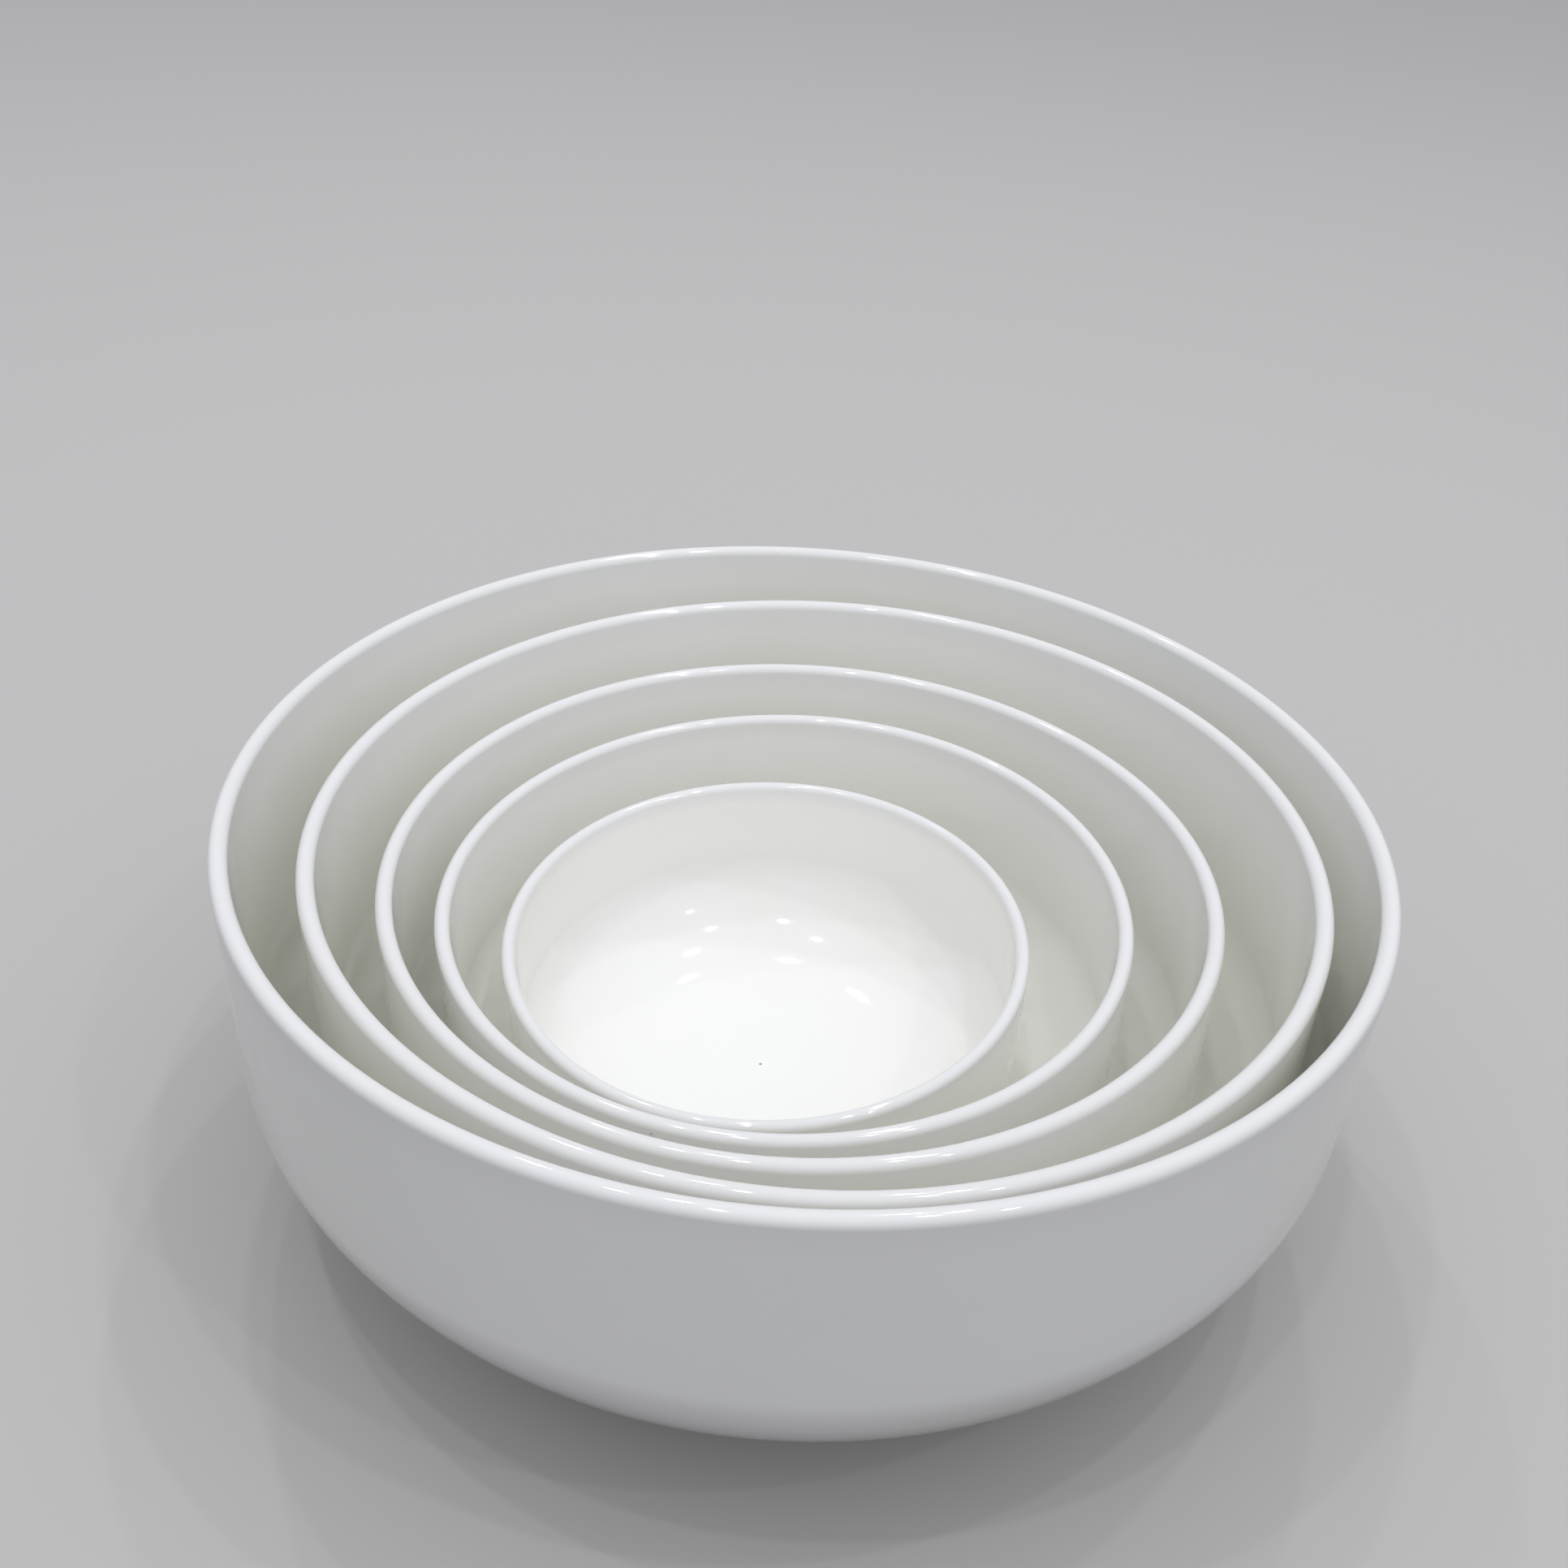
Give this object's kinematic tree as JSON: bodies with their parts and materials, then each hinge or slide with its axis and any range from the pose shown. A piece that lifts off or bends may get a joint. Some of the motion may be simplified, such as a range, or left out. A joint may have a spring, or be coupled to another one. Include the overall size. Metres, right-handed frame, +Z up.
{
  "type": "nesting bowl set",
  "caption": "Nest of round glazed porcelain bowls with upright walls, rounded lips and low foot rings, each standing loose in the next larger one.",
  "frame": {"origin": "centre of the largest bowl's foot ring, on the table", "axes": "+Z up along the largest bowl's axis, +Y away from the picture's viewer, +X to the viewer's right"},
  "size_m": [0.25, 0.25, 0.102],
  "materials": {
    "largest_bowl_glaze": "gloss",
    "large_bowl_glaze": "gloss",
    "medium_bowl_glaze": "gloss",
    "small_bowl_glaze": "gloss",
    "smallest_bowl_glaze": "gloss"
  },
  "bodies": {
    "largest_bowl": {"largest_bowl": "largest_bowl_glaze"},
    "large_bowl": {"large_bowl": "large_bowl_glaze"},
    "medium_bowl": {"medium_bowl": "medium_bowl_glaze"},
    "small_bowl": {"small_bowl": "small_bowl_glaze"},
    "smallest_bowl": {"smallest_bowl": "smallest_bowl_glaze"}
  },
  "joints": [
    {"name": "large_bowl_lift", "type": "slide", "parent": "largest_bowl", "child": "large_bowl", "axis": [0, 0, 1], "range_m": [0, 0.106]},
    {"name": "medium_bowl_lift", "type": "slide", "parent": "large_bowl", "child": "medium_bowl", "axis": [0, 0, 1], "range_m": [0, 0.094]},
    {"name": "small_bowl_lift", "type": "slide", "parent": "medium_bowl", "child": "small_bowl", "axis": [0, 0, 1], "range_m": [0, 0.079]},
    {"name": "smallest_bowl_lift", "type": "slide", "parent": "small_bowl", "child": "smallest_bowl", "axis": [0, 0, 1], "range_m": [0, 0.067]}
  ]
}
